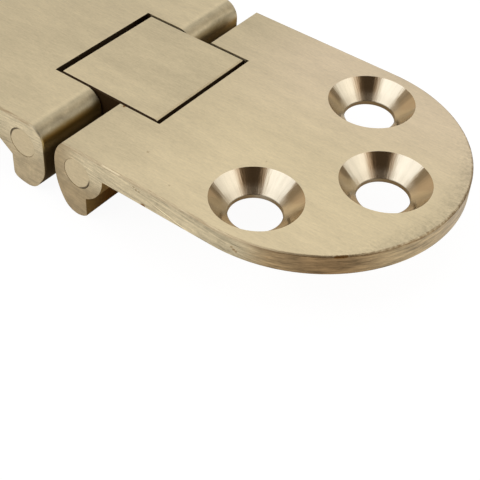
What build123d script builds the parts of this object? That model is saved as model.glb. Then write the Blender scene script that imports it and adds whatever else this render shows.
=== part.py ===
"""Folding table hinge: two round-ended screw leaves that turn on the two pins of one square link.

The hinge lies open and flat, as it is fitted. +X runs along the hinge from the left leaf to the
right leaf, +Y along the pins, +Z up. The origin is below the middle of the link, at the level of
the feet of the ears. Each leaf is a plate with two ears that reach past the link, and each pin
is pressed into the two ears of its leaf and turns in a bore of the link.
"""

import os
from math import hypot

from build123d import *

# Leaves
leaf_width = 30.0
leaf_reach = 34.4  # from the middle of the hinge to the round end of a leaf
leaf_thickness = 2.2
ear_depth = 7.85  # from the flat tops down to the feet of the ears
edge_break = 0.15

# Link and pins
link_length = 12.3
link_width = 13.6
pin_offset = 3.55  # from the middle of the hinge to each pin axis
pin_depth = 2.75  # from the flat tops down to the pin axes
pin_diameter = 3.2
pin_end_chamfer = 0.04

# Clearances
end_gap = 0.6  # between the end of the link and the leaf, at the top
side_gap = 0.2  # between the side of the link and each ear
running_gap = 0.04  # around a pin in its bore in the link
pin_recess = 0.02  # of each pin end below the side of the leaf
waist_rise = 0.6  # of the underside of the link between its two barrels

# Screw holes, two beside each other and one near the round end
hole_diameter = 5.0
head_diameter = 8.6
head_angle = 90.0
pair_spacing = 18.9
pair_inset = 14.4  # from the round end to the pair
end_hole_inset = 6.9  # from the round end to the single hole

# Ears, measured from the pin axis, outwards and down from the flat tops
ear_front = 2.85  # from the pin axis to the front of the ear, towards the other leaf
toe_start_reach = 1.85  # where the round foot starts, in front of the pin axis
toe_start_rise = 0.9  # and above the lowest point of the foot
foot_low_reach = 0.25  # lowest point of the foot, in front of the pin axis

# Left ear: a full round nose, a broad foot and a ramp up to the plate
left_nose_depth = 1.8
left_nose_round = 1.8
left_shin_depth = 4.6  # where the front of the ear starts to run back
left_toe_back = 1.6
left_toe_back_rise = 0.4
left_toe_round = 0.7
left_heel_depth = 4.95
left_ramp_end = 5.4

# Right ear: a flatter nose, a narrow foot with a square back edge and a round heel
right_nose_depth = 2.75
right_nose_edge = 1.15
right_shin_depth = 3.4
right_toe_back = 0.95
right_toe_back_rise = 0.43
right_heel_depth = 5.3
right_heel_end = 3.15
right_heel_bulge = 0.55

top = ear_depth
slot_half_width = link_width / 2 + side_gap
ear_width = leaf_width / 2 - slot_half_width
slot_radius = hypot(link_length / 2 + end_gap - pin_offset, pin_depth)
barrel_radius = link_length / 2 - pin_offset

# The side view of the hinge, with its origin on the flat tops
side_view = Plane(origin=(0, 0, top), x_dir=(1, 0, 0), z_dir=(0, -1, 0))


def front_of_ear(nose_run, nose_depth, shin_depth):
    """Draws the front of an ear from the flat top, round the nose and down to the foot's low point."""
    front_x = pin_offset - ear_front
    nose_foot = (front_x, -nose_depth)
    shin = (front_x, -max(shin_depth, nose_depth + edge_break))
    toe_start = (pin_offset - toe_start_reach, toe_start_rise - ear_depth)
    low_point = (pin_offset - foot_low_reach, -ear_depth)
    TangentArc(nose_foot, (front_x + nose_run, 0), tangent=(0, 1))
    Line(nose_foot, shin)
    TangentArc(shin, toe_start, tangent=(0, -1))
    TangentArc(low_point, toe_start, tangent=(-1, 0))
    return low_point


def left_ear_outline():
    """Draws the left leaf's ear, turned to face the same way as the right one."""
    toe_back = (pin_offset + left_toe_back, left_toe_back_rise - ear_depth)
    heel = (pin_offset + left_toe_back, -left_heel_depth)
    ramp_end = (pin_offset + left_ramp_end, -leaf_thickness)
    low_point = front_of_ear(left_nose_round, left_nose_depth, left_shin_depth)
    TangentArc(low_point, toe_back, tangent=(1, 0))
    Polyline(toe_back, heel, ramp_end, (ramp_end[0], 0), (pin_offset - ear_front + left_nose_round, 0))


def right_ear_outline():
    """Draws the right leaf's ear."""
    toe_back = (pin_offset + right_toe_back, right_toe_back_rise - ear_depth)
    heel = (pin_offset + right_toe_back, -right_heel_depth)
    heel_end = (pin_offset + right_heel_end, -leaf_thickness)
    low_point = front_of_ear(right_nose_edge, right_nose_depth, right_shin_depth)
    TangentArc(low_point, toe_back, tangent=(1, 0))
    Line(toe_back, heel)
    SagittaArc(heel, heel_end, -right_heel_bulge)
    Polyline(heel_end, (heel_end[0], 0), (pin_offset - ear_front + right_nose_edge, 0))


def make_leaf(draw_ear):
    """Makes a leaf that reaches along +X: plate, two ears, link slot, pin hole and screw holes."""
    end_radius = leaf_width / 2
    with BuildPart() as leaf:
        with BuildSketch(Plane.XY.offset(top - leaf_thickness)):
            with BuildLine():
                Polyline(
                    (leaf_reach - end_radius, end_radius),
                    (pin_offset, end_radius),
                    (pin_offset, -end_radius),
                    (leaf_reach - end_radius, -end_radius),
                )
                ThreePointArc(
                    (leaf_reach - end_radius, -end_radius),
                    (leaf_reach, 0),
                    (leaf_reach - end_radius, end_radius),
                )
            make_face()
        extrude(amount=leaf_thickness)

        with BuildSketch(side_view.offset(slot_half_width)):
            with BuildLine():
                draw_ear()
            make_face()
        ear = extrude(amount=ear_width)
        mirror(ear, about=Plane.XZ)

        # The outline of the plate, top and bottom, with the outer edges of the ears
        flat_edges = leaf.edges().filter_by(Plane.XY)
        outline = flat_edges.filter_by(lambda edge: hypot(edge.center().X, edge.center().Y) > end_radius)
        level_edges = outline.group_by(Axis.Z)
        chamfer(level_edges[-1] + level_edges[-2], length=edge_break)

        with BuildSketch(side_view):
            with Locations((pin_offset, -pin_depth)):
                Circle(slot_radius)
        extrude(amount=slot_half_width, both=True, mode=Mode.SUBTRACT)
        with BuildSketch(side_view):
            with Locations((pin_offset, -pin_depth)):
                Circle(pin_diameter / 2)
        extrude(amount=leaf_width / 2, both=True, mode=Mode.SUBTRACT)

        pair_x = leaf_reach - pair_inset
        end_hole_x = leaf_reach - end_hole_inset
        places = [
            (pair_x, pair_spacing / 2, top),
            (pair_x, -pair_spacing / 2, top),
            (end_hole_x, 0, top),
        ]
        with Locations(*places):
            CounterSinkHole(
                radius=hole_diameter / 2,
                counter_sink_radius=head_diameter / 2,
                depth=leaf_thickness,
                counter_sink_angle=head_angle,
            )
    return leaf


def make_link():
    """Makes the link: a block with a flat top and a barrel round each of its two bores."""
    half = link_length / 2
    with BuildPart() as link:
        with BuildSketch(side_view):
            with Locations((0, -pin_depth / 2)):
                Rectangle(link_length, pin_depth)
            with Locations((pin_offset, -pin_depth), (-pin_offset, -pin_depth)):
                Circle(barrel_radius)
            with Locations((0, -(pin_depth + barrel_radius - waist_rise) / 2)):
                Rectangle(2 * pin_offset, pin_depth + barrel_radius - waist_rise)
            with Locations((pin_offset, -pin_depth), (-pin_offset, -pin_depth)):
                Circle(pin_diameter / 2 + running_gap, mode=Mode.SUBTRACT)
        extrude(amount=link_width / 2, both=True)
        top_face = link.faces().sort_by(Axis.Z)[-1]
        chamfer(top_face.outer_wire().edges(), length=edge_break)
    return link


def make_pin(x):
    """Makes a pin at x, a little shorter than the leaf is wide, with chamfered ends."""
    with BuildPart() as pin:
        with BuildSketch(side_view):
            with Locations((x, -pin_depth)):
                Circle(pin_diameter / 2)
        extrude(amount=leaf_width / 2 - pin_recess, both=True)
        chamfer(pin.edges().filter_by(GeomType.CIRCLE), length=pin_end_chamfer)
    return pin


left_leaf = make_leaf(left_ear_outline)
with left_leaf:
    toe_edges = left_leaf.edges().filter_by(Axis.Y).filter_by(
        lambda edge: abs(edge.center().X - pin_offset - left_toe_back) < edge_break
        and edge.center().Z < top - left_heel_depth - edge_break
    )
    fillet(toe_edges, radius=left_toe_round)
    mirror(about=Plane.YZ, mode=Mode.REPLACE)
right_leaf = make_leaf(right_ear_outline)
link = make_link()
left_pin = make_pin(-pin_offset)
right_pin = make_pin(pin_offset)

left_leaf.part.label = "left_leaf"
right_leaf.part.label = "right_leaf"
link.part.label = "link"
left_pin.part.label = "left_pin"
right_pin.part.label = "right_pin"

os.makedirs("parts", exist_ok=True)
export_step(left_leaf.part, "parts/left_leaf.step")
export_step(right_leaf.part, "parts/right_leaf.step")
export_step(link.part, "parts/link.step")
export_step(left_pin.part, "parts/left_pin.step")
export_step(right_pin.part, "parts/right_pin.step")
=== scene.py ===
"""Finishes, stage and camera for the folding table hinge.

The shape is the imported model's own: two round-ended leaves, the square link between them and
the two pins. This file gives each of them its brass, lays the hinge on a pale floor in a white
tent, and stands a camera where the photograph was taken from.
"""

from math import cos, radians, sin
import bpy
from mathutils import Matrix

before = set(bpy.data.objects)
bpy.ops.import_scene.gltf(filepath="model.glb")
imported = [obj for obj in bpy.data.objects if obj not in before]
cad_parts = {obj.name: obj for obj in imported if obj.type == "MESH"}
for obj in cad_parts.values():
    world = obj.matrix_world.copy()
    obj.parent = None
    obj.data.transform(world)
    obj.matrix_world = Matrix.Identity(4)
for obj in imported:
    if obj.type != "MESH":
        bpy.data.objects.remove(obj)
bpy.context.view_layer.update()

from types import SimpleNamespace

import bpy
from mathutils import Matrix, Vector

bl_info = {
    "name": "Folding Table Hinge",
    "version": (1, 0, 0),
    "blender": (4, 5, 0),
    "location": "View3D > Sidebar > Hinge",
    "description": "Brass finishes, stage and camera for a folding table hinge",
    "category": "Object",
}

# Outputs of the Texture Coordinate node
GENERATED_COORDINATES = 0
OBJECT_COORDINATES = 3

# Places on the hinge, in millimetres
HALF_WIDTH = 15.0
TOP = 7.85
PLATE_UNDERSIDE = 5.65
END_CENTRE_X = 19.4
PAIR_X = 20.0
PAIR_Y = 9.45
END_HOLE_X = 27.5
HEAD_RADIUS = 4.3
HOLE_RADIUS = 2.5
PIN_X = 3.55
PIN_Z = 5.1
PIN_RADIUS = 1.6
SLOT_HALF_WIDTH = 7.0
LINK_HALF_WIDTH = 6.8
EAR_BACK_X = 8.8

# The painted highlight on the top edge of the right leaf's side, the long scratch on that side, the
# burr along the sides, and where the sawn ends are darkest, in millimetres
EDGE_GLINT_Z = 7.78
BURR_Z = 7.58
SCORE_X = 12.5
SCORE_Z = 6.72
SCORE_SLOPE = 0.213
DARK_SAWN_Y = 11.4

# Shifts that keep the brushed pattern from running on from one piece to the next
LINK_PATTERN_SHIFT = 57.0
PIN_PATTERN_SHIFT = 11.0

# Roughness of the brushed brass
SATIN = 0.42

WHITE = (1.0, 1.0, 1.0)

# Small marks on the right leaf: x, y, z, radius and strength
LEAF_MARKS = (
    (8.65, -10.85, 7.85, 0.20, 0.35),
    (2.40, -7.05, 7.85, 0.24, 0.9),
    (10.55, -15.0, 7.42, 0.13, 0.6),
    (10.85, -15.0, 7.25, 0.15, 0.7),
    (11.20, -15.0, 7.20, 0.12, 0.5),
    (11.65, -15.0, 5.85, 0.32, 0.9),
    (21.65, -14.83, 6.55, 0.16, 0.7),
    (21.85, -14.80, 6.42, 0.16, 0.6),
    (21.45, -14.86, 6.75, 0.16, 0.5),
    (29.50, -11.15, 7.80, 0.22, 0.9),
    (29.65, -10.97, 7.80, 0.24, 0.9),
    (29.80, -10.82, 7.80, 0.26, 0.9),
    (29.95, -10.67, 7.80, 0.26, 0.9),
    (30.10, -10.50, 7.80, 0.22, 0.9),
    (24.60, -14.2, 6.9, 0.18, 0.4),
    (13.10, -13.2, 7.85, 0.15, 0.3),
    (17.60, -4.9, 7.85, 0.12, 0.25),
)


class Wire:
    """An output socket. Sums, products and quotients of wires and numbers add Math nodes."""

    def __init__(self, web, socket):
        self.web = web
        self.socket = socket

    def __add__(self, other):
        return self.web.math("ADD", self, other)

    def __sub__(self, other):
        return self.web.math("SUBTRACT", self, other)

    def __rsub__(self, other):
        return self.web.math("SUBTRACT", other, self)

    def __mul__(self, other):
        return self.web.math("MULTIPLY", self, other)

    def __truediv__(self, other):
        return self.web.math("DIVIDE", self, other)

    def __abs__(self):
        return self.web.math("ABSOLUTE", self)

    __radd__ = __add__
    __rmul__ = __mul__

    def least(self, other):
        return self.web.math("MINIMUM", self, other)

    def most(self, other):
        return self.web.math("MAXIMUM", self, other)

    def reach(self, other):
        """The length of the two taken as the sides of a right angle."""
        return self.web.math("SQRT", self * self + other * other)

    def rise(self, low, high):
        """Goes smoothly from 0 at low to 1 at high. It falls instead if low is the larger."""
        start, end = (low, high) if low < high else (high, low)
        step = self.web.node(
            "ShaderNodeMapRange",
            {"interpolation_type": "SMOOTHSTEP"},
            {"Value": self, "From Min": start, "From Max": end},
        )
        return step if low < high else 1 - step

    def between(self, low, high, soft):
        """1 from low to high, and 0 a soft edge beyond them."""
        return self.rise(low - soft, low) * self.rise(high + soft, high)


class Web:
    """The node tree of one finish."""

    def __init__(self, tree):
        self.tree = tree
        tree.nodes.clear()

    def node(self, kind, settings=None, sockets=None, output=0):
        """Adds a node: first its settings, then the value or link of each socket."""
        node = self.tree.nodes.new(kind)
        for name, value in (settings or {}).items():
            setattr(node, name, value)
        for key, value in (sockets or {}).items():
            if isinstance(value, Wire):
                self.tree.links.new(value.socket, node.inputs[key])
            else:
                node.inputs[key].default_value = value
        return Wire(self, node.outputs[output]) if node.outputs else None

    def math(self, operation, *values):
        return self.node("ShaderNodeMath", {"operation": operation}, dict(enumerate(values)))

    def blend(self, mask, first, second, blend_type="MIX"):
        """A colour that goes from first to second as the mask goes from 0 to 1."""
        first, second = [c if isinstance(c, Wire) else (*c, 1.0) for c in (first, second)]
        settings = {"data_type": "RGBA", "blend_type": blend_type}
        return self.node("ShaderNodeMix", settings, {0: mask, 6: first, 7: second}, output=2)

    def shade(self, colour, amount):
        """The colour times a number that varies over the surface."""
        grey = self.node("ShaderNodeCombineColor", None, {0: amount, 1: amount, 2: amount})
        return self.blend(1.0, colour, grey, "MULTIPLY")

    def split(self, vector):
        """The x, y and z of a vector."""
        axes = self.node("ShaderNodeSeparateXYZ", None, {0: vector}).socket.node.outputs
        return [Wire(self, axis) for axis in axes]

    def millimetres(self):
        """Object coordinates in millimetres, as x, y and z."""
        place = self.node("ShaderNodeTexCoord", output=OBJECT_COORDINATES)
        scale = {0: place, "Scale": 1000.0}
        return self.split(self.node("ShaderNodeVectorMath", {"operation": "SCALE"}, scale))

    def light_path(self, *names):
        """Wires of the Light Path node, which are 1 for rays of the kinds named."""
        outputs = self.node("ShaderNodeLightPath").socket.node.outputs
        return [Wire(self, outputs[name]) for name in names]

    def grain(self, x, y, z, detail=2.0, roughness=0.5):
        """Noise around zero, about half a unit either way, at the given coordinates."""
        place = self.node("ShaderNodeCombineXYZ", None, {0: x, 1: y, 2: z})
        noise = self.node(
            "ShaderNodeTexNoise",
            {"noise_dimensions": "3D"},
            {"Vector": place, "Scale": 1.0, "Detail": detail, "Roughness": roughness},
        )
        return noise - 0.5

    def metal(self, colour, roughness, height, depth, bare):
        """Ends the finish: a metal of that colour and roughness, with relief of that depth.
        Bare is 1 where the metal shows and 0 under the painted shade and the dark pin seams."""
        bump = self.node(
            "ShaderNodeBump", None, {"Strength": 1.0, "Distance": depth, "Height": height}
        )
        surface = self.node(
            "ShaderNodeBsdfPrincipled",
            None,
            {"Base Color": colour, "Roughness": roughness, "Metallic": bare, "Normal": bump,
             "Specular IOR Level": 0.03},
        )
        self.node("ShaderNodeOutputMaterial", None, {"Surface": surface})


def finish(name):
    """A new material of that name, and its empty node tree."""
    material = bpy.data.materials.new(name)
    material.use_nodes = True
    return material, Web(material.node_tree)


def wear(node_name, material):
    """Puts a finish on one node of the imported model."""
    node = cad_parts[node_name]
    node.data.materials.clear()
    node.data.materials.append(material)


def brushing(web, x, y, z):
    """The fine lines of the abrasive belt, which ran along the hinge, and broad bands of tone."""
    lines = web.grain(x, (y + x * 0.07) * 5.5, z * 5.5, detail=3.0, roughness=0.7)
    strays = web.grain(x * 0.7 + 80.0, (y - x * 0.10) * 7.0, z * 7.0, roughness=0.6)
    pits = web.grain(x * 4.0, y * 5.0, z * 5.0 + 9.0, roughness=0.6)
    broad = web.grain(x * 0.16 + 31.0, y * 0.6, z * 0.6)
    fine = lines * 0.6 + strays * 0.4 + pits * 0.4
    return fine, broad


def marks(x, y, z, places):
    """A mask of small round marks, each given as x, y, z, radius in millimetres and strength."""
    spots = [
        (x - px).reach(y - py).reach(z - pz).rise(radius, radius * 0.5) * strength
        for px, py, pz, radius, strength in places
    ]
    mask = spots[0]
    for spot in spots[1:]:
        mask = mask.most(spot)
    return mask


class HingeFinishes(bpy.types.PropertyGroup):
    """Colours of the brass, and how deeply it is marked."""

    brass: bpy.props.FloatVectorProperty(
        name="Brass", description="Colour of the brushed tops", subtype="COLOR", size=3,
        min=0.0, max=1.0, default=(0.675, 0.565, 0.365),
    )
    # Colour of the painted paler light on the tops towards their far side
    pale_brass: bpy.props.FloatVectorProperty(
        name="Pale Brass", description="Colour of the tops towards their far side", subtype="COLOR",
        size=3, min=0.0, max=1.0, default=(0.685, 0.565, 0.395),
    )
    raw_brass: bpy.props.FloatVectorProperty(
        name="Raw Brass", description="Colour of the sawn round ends", subtype="COLOR", size=3,
        min=0.0, max=1.0, default=(0.42, 0.315, 0.175),
    )
    dark_brass: bpy.props.FloatVectorProperty(
        name="Dark Brass", description="Colour of the darkest sawn brass", subtype="COLOR", size=3,
        min=0.0, max=1.0, default=(0.26, 0.17, 0.084),
    )
    # Colour of the painted highlight on the noses of the leaves, where they are also rubbed
    nose_brass: bpy.props.FloatVectorProperty(
        name="Nose Brass", description="Colour of the rubbed noses of the leaves", subtype="COLOR",
        size=3, min=0.0, max=1.0, default=(0.46, 0.39, 0.255),
    )
    turned_brass: bpy.props.FloatVectorProperty(
        name="Turned Brass", description="Colour of the countersinks", subtype="COLOR", size=3,
        min=0.0, max=1.0, default=(0.66, 0.575, 0.43),
    )
    # Colour of the painted shade low on the noses and behind the feet
    shade_brown: bpy.props.FloatVectorProperty(
        name="Shade Brown", description="Colour of the shadowed noses of the leaves", subtype="COLOR",
        size=3, min=0.0, max=1.0, default=(0.40, 0.28, 0.10),
    )
    # Colour of the painted shade behind the feet, also used for the small dark marks
    heel_shade_and_marks: bpy.props.FloatVectorProperty(
        name="Heel Shade And Marks", description="Colour behind the feet", subtype="COLOR", size=3,
        min=0.0, max=1.0, default=(0.12, 0.055, 0.012),
    )
    # Colour of the painted shade deep in the joints, and of the dark pin seams
    deep_shade_and_seam: bpy.props.FloatVectorProperty(
        name="Deep Shade And Seams", description="Colour deep in the joints", subtype="COLOR", size=3,
        min=0.0, max=1.0, default=(0.045, 0.025, 0.010),
    )
    brush_depth: bpy.props.FloatProperty(
        name="Brush Depth", description="Depth of the brushed lines", unit="LENGTH",
        min=0.0, default=0.000004,
    )


class HingeStage(bpy.types.PropertyGroup):
    """Floor, light and camera."""

    floor_size: bpy.props.FloatProperty(
        name="Floor Size", description="Width of the floor", unit="LENGTH", min=0.1, default=6.0,
    )
    floor_colour: bpy.props.FloatVectorProperty(
        name="Floor", description="Colour of the floor", subtype="COLOR", size=3,
        min=0.0, max=1.0, default=(0.88, 0.88, 0.88),
    )
    # Colour of the painted shadow under the hinge, seen only in the metal's reflections
    mirrored_floor_shade: bpy.props.FloatVectorProperty(
        name="Mirrored Floor Shade", description="Colour that the hinge's metal mirrors from under it",
        subtype="COLOR", size=3, min=0.0, max=1.0, default=(0.43, 0.31, 0.175),
    )
    tent_level: bpy.props.FloatProperty(
        name="Tent Level", description="Brightness of the white tent", min=0.0, default=1.0,
    )
    camera_place: bpy.props.FloatVectorProperty(
        name="Camera", description="Where the camera stands", subtype="TRANSLATION", size=3,
        default=(0.06022, -0.06965, 0.07094),
    )
    camera_turn: bpy.props.FloatProperty(
        name="Camera Azimuth", description="Turn of the camera round the hinge", subtype="ANGLE",
        default=radians(34.69),
    )
    camera_tip: bpy.props.FloatProperty(
        name="Camera Elevation", description="How far the camera looks down", subtype="ANGLE",
        default=radians(43.33),
    )
    camera_roll: bpy.props.FloatProperty(
        name="Camera Roll", description="Roll of the camera", subtype="ANGLE",
        default=radians(3.95),
    )
    camera_lens: bpy.props.FloatProperty(
        name="Lens", description="Focal length in millimetres", min=1.0, default=82.12,
    )


class HINGE_OT_leaves(bpy.types.Operator):
    """Finish the two leaves: brushed tops and sides, sawn ends, turned countersinks"""

    bl_idname = "hinge.leaves"
    bl_label = "Finish Leaves"

    def execute(self, context):
        colours = context.scene.hinge_finishes
        material, web = finish("leaf_brass")
        at = self.zones(*web.millimetres())
        grain = self.grains(web, at)
        cone, land, chatter = self.screw_holes(web, at)

        colour = self.top(web, colours, at, grain)
        colour = web.blend(at.wall, colour, self.side(web, colours, at, grain))
        sawn = at.wall * at.along.rise(21.4, 25.0)
        colour = web.blend(sawn, colour, self.sawn_end(web, colours, at, grain))
        # Painted shade: the top edges are darkened towards dark brass, with scratches in it and
        # hammering at the round end, so the chamfer stays dark instead of catching light
        edge = at.edge * (grain.scratches * 2.0 + grain.hammered * at.far_end * 3.0 + 0.42)
        colour = web.blend(edge, colour, colours.dark_brass)
        # Painted highlight: a short bright line on the top edge of the right leaf's near side
        edge_glint = abs(at.z - EDGE_GLINT_Z).rise(0.07, 0.03) * at.x.between(7.0, 8.6, 0.5)
        edge_glint = edge_glint * at.y.rise(-14.6, -14.8)
        colour = web.blend(edge_glint * 0.8, colour, web.shade(colours.brass, 1.1))
        colour = web.blend(cone, colour, web.shade(colours.turned_brass, chatter * 0.3 + 1.0))
        # Painted shade: the holes' walls are the turned brass darkened to about half
        colour = web.blend(land, colour, web.shade(colours.turned_brass, 0.54))
        colour, shade_and_seam = self.nose(web, colours, at, grain, colour)
        colour, shade_and_seam = self.joint_shade(web, colours, at, grain, colour, shade_and_seam)
        spots = marks(
            at.x + grain.hammered * 0.5,
            at.y + grain.hammered * 0.5,
            at.z + grain.blots * 0.3,
            LEAF_MARKS,
        )
        colour = web.blend(spots * at.right_leaf, colour, web.shade(colours.heel_shade_and_marks, 1.7))

        roughness = grain.fine * 0.15 + SATIN
        turned = at.z.rise(TOP - 0.8, TOP - 1.5) * 0.13 + 0.13
        roughness = roughness + cone * (turned - roughness)
        roughness = roughness + shade_and_seam * (0.6 - roughness)
        height = grain.fine * (1 - cone) + at.wall * (grain.scratches + at.in_end * grain.sawn)
        height = height + cone * chatter * 4.0 + at.far_end * grain.hammered * 1.4
        web.metal(colour, roughness, height, colours.brush_depth, 1 - shade_and_seam)
        wear("left_leaf", material)
        wear("right_leaf", material)
        return {"FINISHED"}

    def zones(self, x, y, z):
        """Distances in millimetres on a leaf, and masks that are 1 in their own zone."""
        along, across = abs(x), abs(y)
        in_end = along.rise(END_CENTRE_X - 0.3, END_CENTRE_X + 0.1)
        end_reach = (along - END_CENTRE_X).reach(y)
        outline = in_end * end_reach + (1 - in_end) * across
        rim = outline.rise(HALF_WIDTH - 0.28, HALF_WIDTH - 0.12)
        in_joint = along.rise(EAR_BACK_X, EAR_BACK_X - 0.6)
        slot_side = in_joint * across.rise(SLOT_HALF_WIDTH + 0.05, SLOT_HALF_WIDTH)
        slot_end = along.rise(6.0, 6.5) * z.rise(TOP, TOP - 0.03)
        face = across.rise(HALF_WIDTH - 0.08, HALF_WIDTH - 0.02)
        to_pin = (along - PIN_X).reach(z - PIN_Z)
        inner = (1 - face) * to_pin.rise(PIN_RADIUS + 0.01, PIN_RADIUS + 0.05)
        return SimpleNamespace(
            x=x,
            y=y,
            z=z,
            along=along,
            across=across,
            in_end=in_end,
            wall=outline.rise(HALF_WIDTH - 0.1, HALF_WIDTH - 0.03),
            edge=z.rise(TOP - 0.26, TOP - 0.12) * rim,
            far_end=end_reach.rise(12.0, 15.0) * along.rise(25.5, 33.0),
            far_side=y.rise(0.0, 8.0),
            right_leaf=x.rise(-0.5, 0.5),
            below=in_joint * z.rise(PLATE_UNDERSIDE - 0.02, PLATE_UNDERSIDE - 0.12),
            slot_wall=slot_side * z.rise(TOP, TOP - 0.35).most(slot_end),
            inner=inner,
            nose=along.rise(2.6, 2.4) * inner,
        )

    def grains(self, web, at):
        """What the belt, the saw and handling left, as noise around zero."""
        x, y, z = at.x, at.y, at.z
        fine, broad = brushing(web, x, y, z)
        slant = z + at.along * 0.08
        return SimpleNamespace(
            fine=fine,
            broad=broad,
            scratches=web.grain(x * 0.20, y * 0.3, slant * 6.5 + 17.0, detail=4.0, roughness=0.75),
            sawn=web.grain(x * 0.35, y * 0.35, z * 3.4 + 40.0, detail=4.0, roughness=0.75),
            blots=web.grain(x * 0.8, y * 0.5, z * 0.9 + 5.0, detail=3.0, roughness=0.6),
            hammered=web.grain(x * 2.4, y * 2.4, z * 2.4 + 60.0, detail=3.0, roughness=0.7),
        )

    def screw_holes(self, web, at):
        """Masks of the countersinks and of the holes' walls, and the grain turned round them."""
        to_pair = (at.along - PAIR_X).reach(at.across - PAIR_Y)
        to_end_hole = (at.along - END_HOLE_X).reach(at.y)
        to_hole = to_pair.least(to_end_hole)
        at_pair = (to_pair - to_end_hole).rise(0.1, -0.1)
        round_x = (at.along - END_HOLE_X + at_pair * (END_HOLE_X - PAIR_X)) / to_hole
        round_y = (at.y - at_pair * (at.y - at.across + PAIR_Y)) / to_hole
        deep = at.y * 0.2 + at.z * 0.2
        chatter = web.grain(round_x * 7.0, round_y * 7.0, deep, detail=3.0, roughness=0.6)
        cone = to_hole.rise(HEAD_RADIUS + 0.01, HEAD_RADIUS - 0.02)
        cone = cone * at.z.rise(PLATE_UNDERSIDE + 0.01, PLATE_UNDERSIDE + 0.03)
        land = to_hole.rise(HOLE_RADIUS + 0.06, HOLE_RADIUS + 0.02)
        return cone, land, chatter

    def top(self, web, colours, at, grain):
        """The brushed top, battered near the tip of the round end, with painted light: paler on the
        far side and lighter towards the right leaf's round end.
        """
        # Painted light: lighter from the joint towards the right leaf's round end, and on the left
        # leaf lighter near the joint and the far side
        tone = grain.fine * 0.48 + grain.broad * 0.25 + at.x.rise(1.0, 14.0) * 0.15 + 0.905
        left_painted_light = at.along.rise(9.0, 2.0) * 0.06 + at.y.rise(0.0, 10.0) * 0.02 + 0.03
        tone = tone + (1 - at.right_leaf) * left_painted_light
        battered = at.far_end * (grain.hammered * 0.8 + at.along.rise(29.5, 33.5) * 0.18)
        # Painted light: the right leaf's top goes paler and cooler towards its far side
        pale = at.y.rise(-4.0, 14.0) * at.x.rise(0.0, 14.0)
        return web.shade(web.blend(pale, colours.brass, colours.pale_brass), tone - battered)

    def side(self, web, colours, at, grain):
        """The scratched side of the plate, with one long scratch, and the duller ear under it, with
        painted shade towards its feet.
        """
        scratches = grain.scratches
        streaks = scratches * at.along.rise(5.0, 9.0) * 0.5 + scratches * 0.5 + grain.fine * 0.5
        glints, cuts = scratches.rise(0.13, 0.19), scratches.rise(-0.13, -0.19)
        # Painted highlight and shadow: the long scratch is drawn as a bright line with a darker
        # line just under it
        score_glint = at.z - SCORE_Z + (at.x - SCORE_X) * SCORE_SLOPE
        score_glint = abs(score_glint).rise(0.07, 0.02) - abs(score_glint + 0.11).rise(0.06, 0.02) * 0.6
        score_glint = score_glint * at.x.between(13.4, 16.4, 1.2) * (scratches + 0.8)
        burr = abs(at.z - BURR_Z).rise(0.07, 0.02) * at.along.rise(8.0, 10.5)
        burr = burr * scratches.rise(-0.15, 0.1)
        level = 0.86 + at.along.rise(12.0, 7.0) * 0.03 - at.along.rise(16.5, 21.0) * 0.06
        level = level - at.z.rise(6.6, 5.8) * 0.07 + score_glint * 0.60 - burr * 0.13
        plate = streaks * 1.7 + grain.blots * 0.5 + glints * 0.35 - cuts * 0.3 + level
        # Painted shade: the ear side goes darker and browner towards the feet, and the right leaf's
        # ear more so
        ear = streaks * 1.2 + grain.blots * 0.8 - at.right_leaf * 0.11 + 0.96
        ear_foot_shade = at.z.rise(6.2, 2.8).most(at.right_leaf * at.along.rise(5.0, 0.8))
        return web.blend(
            (at.right_leaf * 0.35 + 0.65) * ear_foot_shade,
            web.shade(colours.brass, plate),
            web.shade(colours.raw_brass, ear),
        )

    def sawn_end(self, web, colours, at, grain):
        """The sawn wall of the round end, darkest on either side of its tip."""
        dark = abs(at.across - DARK_SAWN_Y).rise(5.5, 0.5)
        raw = web.blend(dark, colours.raw_brass, colours.dark_brass)
        return web.shade(raw, grain.sawn * 2.8 + grain.blots * 0.5 + 1.0)

    def nose(self, web, colours, at, grain, colour):
        """Paints a pale highlight on the noses at the top, where they are also rubbed, and painted
        shade lower down that goes brown and then near black.
        """
        rubbed = at.z + grain.blots * 0.45 + grain.hammered * 0.25 + at.far_side * 0.35 + 0.1
        rubbed_highlight = grain.blots + grain.fine * 0.4 + 1.0 - rubbed.rise(TOP - 0.1, TOP - 0.45) * 0.28
        rubbed_highlight = rubbed_highlight + at.z.rise(TOP - 0.3, TOP - 1.2) * (at.far_side * 0.04 + 0.22)
        rubbed_highlight = web.shade(colours.nose_brass, rubbed_highlight + at.far_side * 0.10)
        colour = web.blend(at.nose * at.z.rise(TOP, TOP - 0.12), colour, rubbed_highlight)
        nose_shade = at.nose * (rubbed + at.far_side * 0.4).rise(TOP - 0.55, TOP - 1.3)
        colour = web.blend(nose_shade, colour, colours.shade_brown)
        return colour, at.nose * rubbed.rise(TOP - 1.25, TOP - 2.7) * 0.92

    def joint_shade(self, web, colours, at, grain, colour, shade_and_seam):
        """Paints shade behind the feet, under the plate, and on the walls of the slot."""
        # Painted shade: behind the feet, under the plate, the ear goes dark brown, warmer towards
        # the outer side
        heel_shade = at.below * at.along.rise(4.0, 4.3) * at.inner
        heel_shade = heel_shade * (at.across + grain.blots * 3.0).rise(7.3, 10.3)
        # Painted shade on the walls of the slot
        shade_and_seam = shade_and_seam.most(heel_shade).most(at.slot_wall)
        heel_shade_colour = web.shade(colours.heel_shade_and_marks, grain.blots * 1.2 + grain.fine * 0.6 + 1.0)
        outer_side = at.across.rise(11.5, 15.2) * 0.45
        heel_shade_colour = web.blend(outer_side, heel_shade_colour, colours.shade_brown)
        return web.blend(shade_and_seam, colour, web.blend(heel_shade, colours.deep_shade_and_seam, heel_shade_colour)), shade_and_seam


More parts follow.
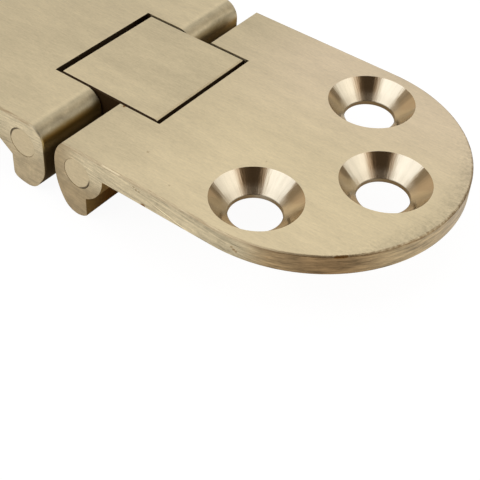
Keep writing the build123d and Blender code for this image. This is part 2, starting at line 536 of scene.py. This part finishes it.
class HINGE_OT_link(bpy.types.Operator):
    """Finish the link: brushed top, with painted shade on its sides in the slot"""

    bl_idname = "hinge.link"
    bl_label = "Finish Link"

    def execute(self, context):
        colours = context.scene.hinge_finishes
        material, web = finish("link_brass")
        x, y, z = web.millimetres()
        fine, broad = brushing(web, x + LINK_PATTERN_SHIFT, y, z)
        # Painted light: the top a little lighter towards the near side
        tone = fine * 0.48 + broad * 0.3 + y.rise(-2.0, -6.5) * 0.06 + 0.92
        # Painted shade: the sides under the top and the near edge of the top go dark in the slot,
        # fading to brass lower down
        near_edge = y.rise(0.17 - LINK_HALF_WIDTH, 0.13 - LINK_HALF_WIDTH) * z.rise(TOP, TOP - 0.03)
        shade_and_seam = z.rise(TOP - 0.13, TOP - 0.18).most(near_edge) * (z + broad).rise(3.0, 5.0)
        colour = web.blend(shade_and_seam, web.shade(colours.brass, tone), colours.deep_shade_and_seam)
        web.metal(colour, fine * 0.12 + SATIN, fine, colours.brush_depth, 1 - shade_and_seam)
        wear("link", material)
        return {"FINISHED"}


class HINGE_OT_pins(bpy.types.Operator):
    """Finish the two pins: dressed flush, with a dark seam round part of each end"""

    bl_idname = "hinge.pins"
    bl_label = "Finish Pins"

    def execute(self, context):
        colours = context.scene.hinge_finishes
        material, web = finish("pin_brass")
        x, y, z = web.millimetres()
        out, up = abs(x) - PIN_X, z - PIN_Z
        seam = out.reach(up).rise(PIN_RADIUS - 0.25, PIN_RADIUS - 0.12)
        left = x.rise(0.5, -0.5)
        open_side = (out * 0.8 + up * (left * 1.4 - 0.7)).rise(1.1, 1.5)
        fine, broad = brushing(web, x + PIN_PATTERN_SHIFT, y, z)
        colour = web.blend(0.4, colours.brass, colours.raw_brass)
        colour = web.shade(colour, fine * 0.6 + broad * 0.1 + 0.99)
        shade_and_seam = seam * (open_side * 0.8 + 0.02)
        colour = web.blend(shade_and_seam, colour, colours.deep_shade_and_seam)
        web.metal(colour, fine * 0.12 + SATIN, fine, colours.brush_depth, 1 - shade_and_seam)
        wear("left_pin", material)
        wear("right_pin", material)
        return {"FINISHED"}


class HINGE_OT_stage(bpy.types.Operator):
    """Lay the pale floor, raise the white tent and stand the camera"""

    bl_idname = "hinge.stage"
    bl_label = "Set Stage"

    def execute(self, context):
        stage = context.scene.hinge_stage
        self.lay_floor(stage)
        self.raise_tent(context.scene, stage)
        self.stand_camera(context.scene, stage)
        context.scene.view_settings.view_transform = "Standard"
        return {"FINISHED"}

    def lay_floor(self, stage):
        bpy.ops.object.select_all(action="DESELECT")
        bpy.ops.mesh.primitive_plane_add(size=stage.floor_size)
        floor = bpy.context.object
        floor.name = "floor"
        material, web = finish("pale_floor")
        x, y, z = web.millimetres()
        seen, mirrored, refracted = web.light_path(
            "Is Camera Ray", "Is Glossy Ray", "Is Transmission Ray"
        )

        # Painted shadow: close under the hinge, the floor that its metal mirrors is brass-brown
        # instead of white
        below = mirrored * abs(x).rise(36.0, 32.0) * abs(y - 7.0).rise(23.0, 19.0)
        colour = web.blend(below, WHITE, stage.mirrored_floor_shade)
        # Seen, mirrored or refracted, the floor is nearly all plain white and keeps a faint shadow
        white = (seen + mirrored + refracted).least(1.0) * 0.88
        matt = web.node("ShaderNodeBsdfDiffuse", None, {"Color": (*stage.floor_colour, 1.0)})
        light = web.node("ShaderNodeEmission", None, {"Color": colour, "Strength": 1.07})
        both = web.node("ShaderNodeMixShader", None, {0: white, 1: matt, 2: light})
        web.node("ShaderNodeOutputMaterial", None, {"Surface": both})
        floor.data.materials.append(material)

    def raise_tent(self, scene, stage):
        """The tent: white cloth, brighter at the two sides, with a dark gap beside the camera."""
        world = bpy.data.worlds.new("white_tent")
        scene.world = world
        world.use_nodes = True
        web = Web(world.node_tree)
        x, y, z = web.split(web.node("ShaderNodeTexCoord", output=GENERATED_COORDINATES))
        turn = stage.camera_turn
        ahead = x * sin(turn) - y * cos(turn)
        right = x * cos(turn) + y * sin(turn)

        # Angles in degrees from the hinge: azimuth 0 faces the camera, and right of it is negative
        azimuth = web.math("DEGREES", web.math("ARCTAN2", right, ahead))
        elevation = web.math("DEGREES", web.math("ARCSINE", z))
        turned = abs(azimuth)
        right_hand = azimuth.rise(4, -4)
        front = azimuth.between(-95, 110, 6)
        gap = azimuth.between(-4, 39, 30) * elevation.between(30, 66, 8)
        panel = front * turned.rise(28, 38)
        panel = panel * (turned + elevation * 1.2 - right_hand * 8).rise(140, 135)
        panel = panel * elevation.between(15, 60, 3)
        above = elevation - 19 - right_hand * ((100 - turned) * 0.4 + 19)
        low = (1 - front) * above.rise(0, -3) * turned.rise(156, 150)
        flank = turned.between(84, 122, 8) * (1 - panel)

        shaded = elevation.rise(36, 50) * (0.20 - right_hand * 0.42) + 0.28 - right_hand * 0.09
        behind = (turned + right_hand * 11).rise(120, 136)
        low_level = behind * (0.18 + right_hand * 0.08) + right_hand * 0.05 + 0.32
        level = elevation.rise(20, 50) * 0.40 + 0.68
        level = level + panel * (right_hand * 0.05 + 0.52)
        level = level * (1 - elevation.rise(20, 8) * 0.4)
        level = level + low * (low_level - level)
        level = level * (1 - gap * 0.945) * (1 - flank * shaded) * stage.tent_level

        colour = web.blend(panel * right_hand, WHITE, (0.96, 0.99, 1.06))
        colour = web.blend(flank, colour, (1.0, 0.92, 0.82))
        colour = web.blend(low, colour, (1.0, 0.78, 0.54))
        colour = web.blend(gap, colour, (1.0, 0.66, 0.38))

        # The camera itself sees plain white
        seen, = web.light_path("Is Camera Ray")
        colour = web.blend(seen, colour, WHITE)
        level = level + seen * (1 - level)
        back = web.node("ShaderNodeBackground", None, {"Color": colour, "Strength": level})
        web.node("ShaderNodeOutputWorld", None, {"Surface": back})

    def stand_camera(self, scene, stage):
        turn, tip, roll = stage.camera_turn, stage.camera_tip, stage.camera_roll
        ahead = Vector((-sin(turn) * cos(tip), cos(turn) * cos(tip), -sin(tip)))
        right = Vector((cos(turn), sin(turn), 0.0))
        up = right.cross(ahead)
        side = cos(roll) * right + sin(roll) * up
        top = cos(roll) * up - sin(roll) * right
        data = bpy.data.cameras.new("camera")
        data.sensor_width = 36.0
        data.lens = stage.camera_lens
        data.clip_start = 0.005
        camera = bpy.data.objects.new("camera", data)
        scene.collection.objects.link(camera)
        turned = Matrix((side, top, -ahead)).transposed().to_4x4()
        camera.matrix_world = Matrix.Translation(stage.camera_place) @ turned
        scene.camera = camera


class HINGE_PT_panel(bpy.types.Panel):
    """The hinge's finishes and stage"""

    bl_idname = "HINGE_PT_panel"
    bl_label = "Folding Table Hinge"
    bl_space_type = "VIEW_3D"
    bl_region_type = "UI"
    bl_category = "Hinge"

    def draw(self, context):
        column = self.layout.column()
        for operator in OPERATORS:
            column.operator(operator.bl_idname)
        for group in (context.scene.hinge_finishes, context.scene.hinge_stage):
            for name in group.__annotations__:
                column.prop(group, name)


OPERATORS = (HINGE_OT_leaves, HINGE_OT_link, HINGE_OT_pins, HINGE_OT_stage)
CLASSES = (HingeFinishes, HingeStage, *OPERATORS, HINGE_PT_panel)


def register():
    for each in CLASSES:
        bpy.utils.register_class(each)
    bpy.types.Scene.hinge_finishes = bpy.props.PointerProperty(type=HingeFinishes)
    bpy.types.Scene.hinge_stage = bpy.props.PointerProperty(type=HingeStage)


def unregister():
    del bpy.types.Scene.hinge_stage
    del bpy.types.Scene.hinge_finishes
    for each in reversed(CLASSES):
        bpy.utils.unregister_class(each)


def main():
    register()
    bpy.ops.hinge.leaves()
    bpy.ops.hinge.link()
    bpy.ops.hinge.pins()
    bpy.ops.hinge.stage()


if __name__ == "__main__":
    main()
